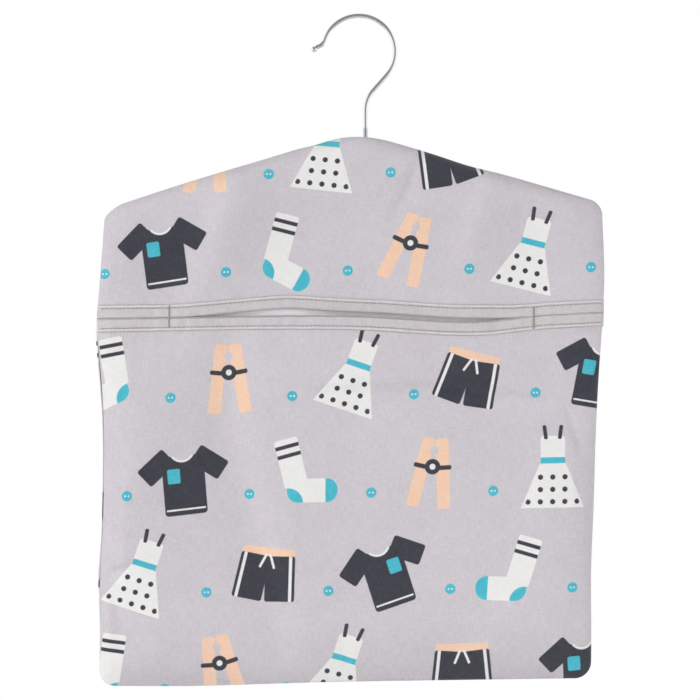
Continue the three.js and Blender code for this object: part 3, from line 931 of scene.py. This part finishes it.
def washing_print(paint, place, ground, offset):
    """Ground colour with washing tossed over it: shirts, socks, pegs, dresses and shorts."""
    u, v = [paint.along_axis(place, axis) / MM + offset[axis] for axis in (0, 1)]
    row = (v / PRINT_ROW).floor()
    along = u - row * PRINT_SHIFT
    column = (along / PRINT_PITCH).floor()
    cell = paint.node("ShaderNodeCombineXYZ", {}, [column, row])
    toss = paint.node("ShaderNodeTexWhiteNoise", {"noise_dimensions": "2D"}, {"Vector": cell}, "Color")
    chance = [paint.node("ShaderNodeSeparateColor", {}, [toss], part) - 0.5 for part in range(3)]
    cell_y = v - (row + 0.5) * PRINT_ROW
    beside = ((along + PRINT_PITCH / 2).modulo(PRINT_PITCH) - PRINT_PITCH / 2, cell_y)
    x = along - (column + 0.5) * PRINT_PITCH + chance[0] * PRINT_WANDER
    y = cell_y + chance[1] * ROW_WANDER
    tilt = chance[2] * PRINT_TILT
    c, s = tilt.math("COSINE"), tilt.math("SINE")
    flip = 1 - (row + column).modulo(2) * 2
    p = ((x * c + y * s) * flip / FIGURE_SCALE, (y * c - x * s) / FIGURE_SCALE)
    kind = (column + row * 2).modulo(len(FIGURES))
    edges = button(beside)
    for number, figure in enumerate(FIGURES):
        away = (1 - kind.math("COMPARE", number, 0.5)) * FAR
        for ink, shapes in figure(p).items():
            for shape in shapes:
                edge = shape + away
                edges[ink] = edges[ink].lower(edge) if ink in edges else edge
    shade = ground
    for ink, tint in INKS.items():
        cover = edges[ink].math("MULTIPLY_ADD", -1 / INK_SOFTNESS, 0.5, clamp=True)
        shade = paint.layer(shade, tint, cover)
    return shade


# Cotton
YARN_WIDTH = 0.9 * MM
SLUB_LENGTH = 5 * MM
WEAVE_DEPTH = 0.4 * MM
WEAVE_TONE = 0.8  # how strongly the yarns vary the colour
MOTTLE_SIZE = 14 * MM
MOTTLE_TONE = 0.15
TONE_COVER = 0.7
GLOW_DEPTH = 1.6 * MM  # how far light spreads inside the cloth
PRINT_BUMP = 0.35
PLAIN_BUMP = 0.3
PATCH_SIZE = 55 * MM
PATCH_START = 0.35
PATCH_GAIN = 0.8
HEM_SHADE_FADE = [(46 * MM, 0.2), (12 * MM, 0.14)]  # painted shade towards the bottom edge: height at which it ends, and share at the bottom edge
REVERSE_MOTTLE = 16 * MM

# Zones of a band, in millimetres from its folded edge: from, to, softness
FURROW_ZONE = (2.4, 3, 0.3)
# share of painted shade in the stitched furrow
FURROW_SHADE_SHARE = 0.4
# where the painted highlight and wear of the folded ridge lie
WORN_HIGHLIGHT_ZONE = (0.9, 1.9, 0.35)
WORN_HIGHLIGHT_SHARE = 0.4
# where the painted shade of the slit lies
LIP_ZONE = (9.3, 12, 0.3)
# from the folded edge, where its painted shadow line fades out
EDGE_SHADE_END = (0.35, 0.8)
OPENING_ZONE = (-105, 105, 20)  # across the bag
SHUT_SHADE_SHARE = 0.7  # how much painted shade the slit between the lips gets beyond the tacks
STREAK_WIDTH = 5 * MM
STREAK_LENGTH = 50 * MM


def weave(paint, place):
    """Slubby threads both ways, from 0 to 1."""
    warp = paint.noise(paint.stretched(place, (1 / YARN_WIDTH, 1 / SLUB_LENGTH, 1)), 1)
    weft = paint.noise(paint.stretched(place, (1 / SLUB_LENGTH, 1 / YARN_WIDTH, 1)), 1)
    return warp * 0.5 + weft * 0.5


def cotton_sockets(paint, place, shade, bump):
    threads = weave(paint, place)
    mottle = paint.noise(place, 1 / MOTTLE_SIZE, 3)
    tone = (threads - 0.5) * WEAVE_TONE + (mottle - 0.5) * MOTTLE_TONE + 0.5
    soft_light = {"data_type": "RGBA", "blend_type": "SOFT_LIGHT"}
    return {
        "Base Color": paint.node("ShaderNodeMix", soft_light, {0: TONE_COVER, 6: shade, 7: tone}, 2),
        "Roughness": lerp(0.8, 0.92, threads),
        "Normal": paint.bump(threads, bump, WEAVE_DEPTH),
        "Subsurface Weight": 0.8,
        "Subsurface Radius": (1, 1, 1),
        "Subsurface Scale": GLOW_DEPTH,
        "Sheen Weight": 0.12,
        "Sheen Roughness": 0.5,
        "Specular IOR Level": 0.25,
    }


def printed_cotton(name, offset):
    """Cotton with the washing print; offset is the place in the print, in millimetres, that lies at
    the origin of the cut."""
    paint = new_paint(name)
    place = paint.cut_place()
    patches = paint.noise(place, 1 / PATCH_SIZE, 2)
    ground = paint.layer(GROUND, GROUND_DARK, (patches - PATCH_START) * PATCH_GAIN)
    # painted shade: the ground darker towards the bottom edge
    height = paint.along_axis(place, 1) - BOTTOM_Z
    wide, narrow = [(1 - height.ease(0, end)) * share for end, share in HEM_SHADE_FADE]
    ground = paint.layer(ground, HEM_PAINTED_SHADE, wide + narrow)
    shade = washing_print(paint, place, ground, offset)
    return paint.finish(cotton_sockets(paint, place, shade, PRINT_BUMP))


def plain_cotton(name, light, dark):
    paint = new_paint(name)
    place = paint.cut_place()
    shade = paint.layer(light, dark, paint.noise(place, 1 / REVERSE_MOTTLE, 3))
    return paint.finish(cotton_sockets(paint, place, shade, PLAIN_BUMP))


def band_cotton(name, open_shade_share):
    """Plain cotton, with a painted highlight along its folded ridge that also stands for wear there, a
    painted shadow line where its folded edge meets the panel, and painted shade in the stitched furrow and
    in the slit at the lip, there by a share of its own where the mouth stands open."""
    paint = new_paint(name)
    place = paint.cut_place()
    from_edge = paint.along_axis(place, 1) / MM
    streaks = paint.noise(paint.stretched(place, (1 / STREAK_WIDTH, 1 / STREAK_LENGTH, 1)), 1)
    shade = paint.layer(BAND_GROUND, GROUND_DARK, streaks)
    # painted shade in the stitched furrow
    shade = paint.layer(shade, PAINTED_SHADE, from_edge.between(*FURROW_ZONE) * FURROW_SHADE_SHARE)
    # painted highlight on the folded ridge, also worn pale there
    shade = paint.layer(shade, WORN_AND_HIGHLIGHT, from_edge.between(*WORN_HIGHLIGHT_ZONE) * WORN_HIGHLIGHT_SHARE)
    # painted shadow line along the folded edge
    shade = paint.layer(shade, PAINTED_SHADE, 1 - from_edge.ease(*EDGE_SHADE_END))
    # painted shade in the slit at the lip, by its own share where the mouth stands open
    opening = (paint.along_axis(place, 0) / MM).between(*OPENING_ZONE)
    lip_shade_share = lerp(SHUT_SHADE_SHARE, open_shade_share, opening)
    shade = paint.layer(shade, LIP_PAINTED_SHADE, from_edge.between(*LIP_ZONE) * lip_shade_share)
    return paint.finish(cotton_sockets(paint, place, shade, PLAIN_BUMP))


# Other finishes; scales are in features to the metre
LINT_SIZE = 3 * MM
FUZZ_SCALE = 900
TWIST_SCALE = 1100.0
TWIST_DEPTH = 0.1 * MM
PLATING_SCALE = 90
NEAR_BAG = (4.5 * MM, 7 * MM)  # above the bag's top; below it the wire's colour is darkened, a painted shade
SPANGLE_SCALE = 700.0
ZINC_GRAIN = 500
RING_STRETCH = (0.06, 1, 1)
RING_SCALE = 110.0
RING_SHARE = 0.7
FLECK_STRETCH = (90, 1400, 900)
FLECK_START = 0.55
FLECK_GAIN = 1.6
GRAIN_DEPTH = 0.2 * MM


def raw_cotton(name):
    paint = new_paint(name)
    place = paint.object_place()
    lint = paint.noise(place, 1 / LINT_SIZE, 3)
    shade = paint.layer(colour(236, 234, 230), colour(214, 211, 208), lint)
    roughness = lerp(0.85, 0.95, paint.noise(place, FUZZ_SCALE))
    return paint.finish({"Base Color": shade, "Roughness": roughness})


def sewing_thread(name):
    paint = new_paint(name)
    sockets = {"Vector": paint.object_place(), "Scale": TWIST_SCALE}
    twist = paint.node("ShaderNodeTexWave", {"bands_direction": "DIAGONAL"}, sockets)
    shade = paint.layer(colour(178, 172, 161), colour(146, 139, 128), twist)
    bump = paint.bump(twist, 0.4, TWIST_DEPTH)
    return paint.finish({"Base Color": shade, "Roughness": lerp(0.6, 0.75, twist), "Normal": bump})


def plated_wire(name):
    paint = new_paint(name)
    place = paint.object_place()
    cloud = paint.noise(place, PLATING_SCALE, 3)
    bright = paint.layer(colour(250, 251, 251), colour(234, 237, 237), cloud)
    # painted shade: the wire darker just above the bag
    near_bag_shade = 1 - (paint.along_axis(place, 2) - TOP_Z).ease(*NEAR_BAG)
    shade = paint.layer(bright, colour(204, 207, 208), near_bag_shade)
    return paint.finish({"Base Color": shade, "Metallic": 1.0, "Roughness": lerp(0.1, 0.18, cloud)})


def zinc(name):
    paint = new_paint(name)
    place = paint.object_place()
    sockets = {"Vector": place, "Scale": SPANGLE_SCALE}
    spangle = paint.node("ShaderNodeTexVoronoi", {}, sockets, "Color")
    shade = paint.layer(colour(168, 170, 172), colour(196, 198, 200), spangle)
    roughness = lerp(0.3, 0.5, paint.noise(place, ZINC_GRAIN))
    return paint.finish({"Base Color": shade, "Metallic": 1.0, "Roughness": roughness})


def beech(name):
    paint = new_paint(name)
    place = paint.object_place()
    rings = paint.node(
        "ShaderNodeTexWave",
        {"wave_type": "BANDS", "bands_direction": "Z"},
        {
            "Vector": paint.stretched(place, RING_STRETCH),
            "Scale": RING_SCALE,
            "Distortion": 3.0,
            "Detail": 2.0,
        },
    )
    flecks = paint.noise(paint.stretched(place, FLECK_STRETCH), 1)
    base = paint.layer(colour(222, 189, 146), colour(196, 156, 110), rings * RING_SHARE)
    shade = paint.layer(base, colour(160, 116, 76), (flecks - FLECK_START) * FLECK_GAIN)
    bump = paint.bump(flecks, 0.15, GRAIN_DEPTH)
    return paint.finish({"Base Color": shade, "Roughness": lerp(0.42, 0.62, flecks), "Normal": bump})


PRINT_FRONT = printed_cotton("printed_cotton_front", (12, 13))
PRINT_UPPER = printed_cotton("printed_cotton_upper", (31, 59))
PRINT_BACK = printed_cotton("printed_cotton_back", (52, 40))
REVERSE = plain_cotton("cotton_reverse", colour(240, 238, 242), colour(227, 224, 229))
UPPER_BAND_CLOTH = band_cotton("band_cotton_upper", 0.15)
LOWER_BAND_CLOTH = band_cotton("band_cotton_lower", 1)
RAW = raw_cotton("raw_cotton")
THREAD = sewing_thread("olive_thread")
WIRE = plated_wire("plated_wire")
ZINC = zinc("washer_zinc")
BEECH = beech("hanger_beech")

# Cloth

back_cloth = cloth_piece("back_cloth", BACK_GRID, back, [PRINT_BACK, REVERSE], CLOTH_THICKNESS)
upper_cloth = cloth_piece(
    "upper_front_cloth", UPPER_GRID, upper_front, [PRINT_UPPER, REVERSE], CLOTH_THICKNESS
)
lower_cloth = cloth_piece(
    "lower_front_cloth", LOWER_GRID, lower_front, [PRINT_FRONT, REVERSE], CLOTH_THICKNESS
)
upper_band = cloth_piece(
    "upper_band", BAND_GRID, UPPER_BAND, [UPPER_BAND_CLOTH], PLY_THICKNESS, UPPER_STRIP, True
)
lower_band = cloth_piece(
    "lower_band", BAND_GRID, LOWER_BAND, [LOWER_BAND_CLOTH], PLY_THICKNESS, LOWER_STRIP
)
upper_stitches = topstitch("upper_topstitch", UPPER_BAND, UPPER_BAND_HEIGHT, THREAD)
lower_stitches = topstitch("lower_topstitch", LOWER_BAND, LOWER_BAND_HEIGHT, THREAD)
left_tack = bar_tack("left_bar_tack", -1, STITCH_INSET, TACK_OVERRUN, THREAD)
right_tack = bar_tack("right_bar_tack", 1, TACK_OVERRUN, STITCH_INSET, THREAD)

# Seam allowances, turned in along the seams


def side_allowance(side):
    low = BOTTOM_Z + BOTTOM_CORNER + ALLOWANCE_END
    high = SHOULDER_Z - SHOULDER_CORNER - ALLOWANCE_END

    def place(u, v):
        z = lerp(low, high, u)
        return hang(side * (half_width(z) - ROLL_RADIUS - ALLOWANCE_INSET - ALLOWANCE_WIDTH * v), 0, z)

    return place


def bottom_allowance(u, v):
    half = BAG_WIDTH / 2 - BOTTOM_CORNER - ALLOWANCE_END
    z = BOTTOM_Z + ROLL_RADIUS + ALLOWANCE_INSET + ALLOWANCE_WIDTH * v
    return hang(lerp(-half, half, u), 0, z)


def shoulder_allowance(side):
    start = STEM_X + side * STEM_GAP
    end = side * (half_width(SHOULDER_Z) - SHOULDER_CORNER)

    def place(u, v):
        x = lerp(start, end, u)
        return hang(x, 0, top_edge(x) - lerp(*SHOULDER_ALLOWANCE, v))

    return place


left_allowance = allowance("left_allowance", SIDE_STEPS, side_allowance(-1), RAW, THREAD)
right_allowance = allowance("right_allowance", SIDE_STEPS, side_allowance(1), RAW, THREAD)
base_allowance = allowance("bottom_allowance", SIDE_STEPS, bottom_allowance, RAW, THREAD)
left_shoulder = allowance(
    "left_shoulder_allowance", SHOULDER_STEPS, shoulder_allowance(-1), RAW, THREAD
)
right_shoulder = allowance(
    "right_shoulder_allowance", SHOULDER_STEPS, shoulder_allowance(1), RAW, THREAD
)

# Hook

WELD = 0.001 * MM


def arc(centre, radius, start, stop, steps):
    points = []
    for number in range(steps + 1):
        angle = lerp(start, stop, number / steps)
        points.append(centre + radius * Vector((math.cos(angle), 0, math.sin(angle))))
    return points


def wire_path():
    """Points and radii along the wire from its peened foot to the ball on its nose."""
    foot_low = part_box("hook_wire")[0].z
    foot_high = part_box("hook_washer")[0].z - FOOT_CLEARANCE
    rings = [
        (foot_low, FOOT_RADIUS - FOOT_ROUND),
        (foot_low + FOOT_ROUND, FOOT_RADIUS),
        (foot_high - FOOT_ROUND, FOOT_RADIUS),
        (foot_high, FOOT_RADIUS - FOOT_ROUND),
        (foot_high + FOOT_STEP, WIRE_RADIUS),
        (foot_high + STEM_START, WIRE_RADIUS),
    ]
    path = [(Vector((STEM_OFFSET, 0, z)), radius) for z, radius in rings]
    crown = Vector((CROWN_OFFSET, 0, CROWN_Z))
    neck_end = crown + CROWN_RADIUS * Vector((math.cos(NECK_ANGLE), 0, -math.sin(NECK_ANGLE)))
    bend_x = STEM_OFFSET + NECK_BEND_RADIUS
    bend_turn = math.pi / 2 - NECK_ANGLE
    bend_end_x = bend_x - NECK_BEND_RADIUS * math.sin(bend_turn)
    bend_end_z = neck_end.z - (neck_end.x - bend_end_x) * math.tan(bend_turn)
    bend = Vector((bend_x, 0, bend_end_z - NECK_BEND_RADIUS * math.cos(bend_turn)))
    points = arc(bend, NECK_BEND_RADIUS, math.pi, math.pi / 2 + bend_turn, NECK_STEPS)
    crown_end = math.pi - NOSE_ANGLE
    points += arc(crown, CROWN_RADIUS, -NECK_ANGLE, crown_end, CROWN_STEPS)
    out = Vector((math.cos(crown_end), 0, math.sin(crown_end)))
    nose = crown + (CROWN_RADIUS + NOSE_BEND_RADIUS) * out
    nose_start = crown_end - math.pi
    points += arc(nose, NOSE_BEND_RADIUS, nose_start, nose_start - NOSE_TURN, NOSE_STEPS)[1:]
    way = (points[-1] - points[-2]).normalized()
    points.append(points[-1] + way * NOSE_LENGTH)
    path += [(point, WIRE_RADIUS) for point in points]
    ball = points[-1] + way * BALL_RADIUS - Vector((0, 0, BALL_DROP))
    reach = math.sqrt(BALL_RADIUS**2 - WIRE_RADIUS**2)
    for number in range(BALL_STEPS + 1):
        along = lerp(-reach, BALL_RADIUS, number / BALL_STEPS)
        radius = math.sqrt(max(0, BALL_RADIUS**2 - along**2))
        path.append((ball + way * along, max(BALL_TIP, radius)))
    return path


def wire_hook(name, paint):
    path = wire_path()
    line = bpy.data.curves.new(name, "CURVE")
    line.dimensions = "3D"
    line.bevel_depth = 1
    line.bevel_resolution = 8
    line.use_fill_caps = True
    spline = line.splines.new("POLY")
    spline.points.add(len(path) - 1)
    for point, (place, radius) in zip(spline.points, path):
        point.co = (*place, 1)
        point.radius = radius
    bar = bpy.data.objects.new(name, line)
    bpy.context.collection.objects.link(bar)
    bpy.context.view_layer.update()
    skin = bpy.data.meshes.new_from_object(bar.evaluated_get(bpy.context.evaluated_depsgraph_get()))
    bpy.data.objects.remove(bar)
    bpy.data.curves.remove(line)
    tube = bmesh.new()
    tube.from_mesh(skin)
    bpy.data.meshes.remove(skin)
    bmesh.ops.remove_doubles(tube, verts=tube.verts[:], dist=WELD)
    bmesh.ops.recalc_face_normals(tube, faces=tube.faces[:])
    return piece_from(name, tube, [paint])


hook = wire_hook("wire_hook", WIRE)

for node, paint in (("hanger_bar", BEECH), ("hook_washer", ZINC)):
    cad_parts[node].material_slots[0].material = paint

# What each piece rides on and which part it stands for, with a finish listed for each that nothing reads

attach(hook, "hook")
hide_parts("hook_wire")

BAG_PIECES = [
    (back_cloth, "back_panel", "printed_cotton"),
    (upper_cloth, "front_upper_panel", "printed_cotton"),
    (upper_band, "upper_mouth_band", "band_cotton"),
    (upper_stitches, "upper_band_stitching", "thread"),
    (left_allowance, "side_seam_left", "raw_cotton"),
    (right_allowance, "side_seam_right", "raw_cotton"),
    (base_allowance, "bottom_seam", "raw_cotton"),
    (left_shoulder, "shoulder_seam_left", "raw_cotton"),
    (right_shoulder, "shoulder_seam_right", "raw_cotton"),
]
MOUTH_PIECES = [
    (lower_cloth, "front_lower_panel", "printed_cotton"),
    (lower_band, "lower_mouth_band", "band_cotton"),
    (lower_stitches, "lower_band_stitching", "thread"),
    (left_tack, "bar_tack_left", "thread"),
    (right_tack, "bar_tack_right", "thread"),
]


def follow_mouth(piece):
    """The lower lip bows out between the tacks; the side seams stay shut."""
    foot, lip = hang(0, 0, BOTTOM_Z), hang(0, 0, MOUTH_Z)
    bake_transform(piece, "bag", "front_panel", start=foot, end=lip)
    shares = piece.data.attributes["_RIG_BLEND"].data
    for vert in piece.data.vertices:
        shares[vert.index].value = mouth_bow(vert.co.x - middle_at(vert.co.z))


for piece, node, finish in BAG_PIECES:
    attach(piece, "bag")
    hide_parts(node)
for piece, node, finish in MOUTH_PIECES:
    follow_mouth(piece)
    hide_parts(node)

# Flat sizes of the cloth, with its seam allowances

AREA_STEPS = 200


def area_between(low, high):
    """Flat area of a cut whose bottom and top edges are given, allowances all round."""
    half = BAG_WIDTH / 2
    total = 0
    for number in range(AREA_STEPS):
        x = lerp(-half, half, (number + 0.5) / AREA_STEPS)
        total += (high(x) - low(x) + 2 * ALLOWANCE_WIDTH) * BAG_WIDTH / AREA_STEPS
    return total * (1 + 2 * ALLOWANCE_WIDTH / BAG_WIDTH)


FOLD_EXTRA = 4 * MM  # of a band's cut, for the fold round the lip
area_between(lambda x: BOTTOM_Z, top_edge)
area_between(upper_lip, top_edge)
BAND_CUT = (2 * half_width(MOUTH_Z), 2 * LOWER_BAND_HEIGHT + FOLD_EXTRA)

# Studio: a pale round floor under the hanging bag, soft lamps and a white backdrop

FLOOR_Z = -0.6
FLOOR_RADIUS = 0.85
FLOOR_SIDES = 96
FLOOR_LIGHT = (0.86, 0.86, 0.86, 1)
FLOOR_DARK = (0.8, 0.8, 0.8, 1)
FLOOR_MOTTLE = 12  # features to the metre
CAMERA_DISTANCE = 2.2
VIEW_WIDTH = 462 * MM  # what the picture spans at the seam plane
VIEW_CENTRE = Vector((-5.6 * MM, 0, -219.3 * MM))
SENSOR = 36.0
WHITE = (1, 1, 1, 1)
SOFT_LIGHT = (0.3, 0.3, 0.3, 1)
DIM_STUDIO = (0.27, 0.27, 0.275, 1)

# The dim part of the studio that metal sees: where it fades, as parts of a unit direction
DIM_ASIDE = (0.34, 0.72)  # to either side
DIM_SPREAD = 0.4  # how much wider it gets with height
DIM_BEHIND = (-0.15, 0.35)  # from front to back
DIM_BELOW = (-0.95, -0.45)  # from straight down upwards


def floor_paint(name):
    paint = new_paint(name)
    mottle = paint.noise(paint.object_place(), FLOOR_MOTTLE, 4)
    shade = paint.layer(FLOOR_LIGHT, FLOOR_DARK, mottle)
    return paint.finish({"Base Color": shade, "Roughness": lerp(0.8, 0.9, mottle)})


floor_disc = bmesh.new()
bmesh.ops.create_circle(floor_disc, cap_ends=True, segments=FLOOR_SIDES, radius=FLOOR_RADIUS)
bmesh.ops.translate(floor_disc, verts=floor_disc.verts[:], vec=(0, 0, FLOOR_Z))
floor = piece_from("floor", floor_disc, [floor_paint("pale_floor")], False)


def soft_lamp(name, place, size, power):
    light = bpy.data.lights.new(name, "AREA")
    light.shape = "SQUARE"
    light.size = size
    light.energy = power
    lamp = bpy.data.objects.new(name, light)
    lamp.location = place
    lamp.visible_glossy = False
    lamp.rotation_euler = (VIEW_CENTRE - Vector(place)).to_track_quat("-Z", "Y").to_euler()
    bpy.context.collection.objects.link(lamp)


soft_lamp("left_lamp", (-1.5, -1.9, -0.05), 1.3, 21)
soft_lamp("right_lamp", (1.6, -1.85, -0.05), 1.3, 29)
soft_lamp("side_lamp", (-2.35, -0.65, 0.8), 0.7, 25)
soft_lamp("back_lamp", (0.3, 1.9, -0.15), 1.3, 30)


def studio_world(world):
    """White all round for the camera; metal sees it too, with the dim middle of the studio in
    front; everything else gets an even soft light."""
    paint = Paint(world)
    way = paint.node("ShaderNodeTexCoord", {}, {}, "Generated")
    x, y, z = [paint.along_axis(way, axis) for axis in range(3)]
    aside = abs(x) - z.higher(0) * DIM_SPREAD
    dim = (1 - aside.ease(*DIM_ASIDE)) * (1 - y.ease(*DIM_BEHIND)) * z.ease(*DIM_BELOW)
    studio = paint.layer(WHITE, DIM_STUDIO, dim)
    glossy = paint.node("ShaderNodeLightPath", {}, {}, "Is Glossy Ray")
    clear = paint.node("ShaderNodeLightPath", {}, {}, "Is Transmission Ray")
    seen = paint.node("ShaderNodeLightPath", {}, {}, "Is Camera Ray")
    shade = paint.layer(SOFT_LIGHT, studio, glossy.higher(clear))
    shade = paint.layer(shade, WHITE, seen)
    light = paint.node("ShaderNodeBackground", {}, {"Color": shade, "Strength": 1.0})
    paint.node("ShaderNodeOutputWorld", {}, {"Surface": light})


scene = bpy.context.scene
scene.world = scene.world or bpy.data.worlds.new("studio")
studio_world(scene.world)
scene.view_settings.view_transform = "Standard"

lens = bpy.data.cameras.new("camera")
lens.sensor_width = SENSOR
lens.lens = SENSOR * CAMERA_DISTANCE / VIEW_WIDTH
camera = bpy.data.objects.new("camera", lens)
camera.location = VIEW_CENTRE + Vector((0, -CAMERA_DISTANCE, 0))
camera.rotation_euler = (math.pi / 2, 0, 0)
bpy.context.collection.objects.link(camera)
scene.camera = camera

bpy.context.view_layer.update()
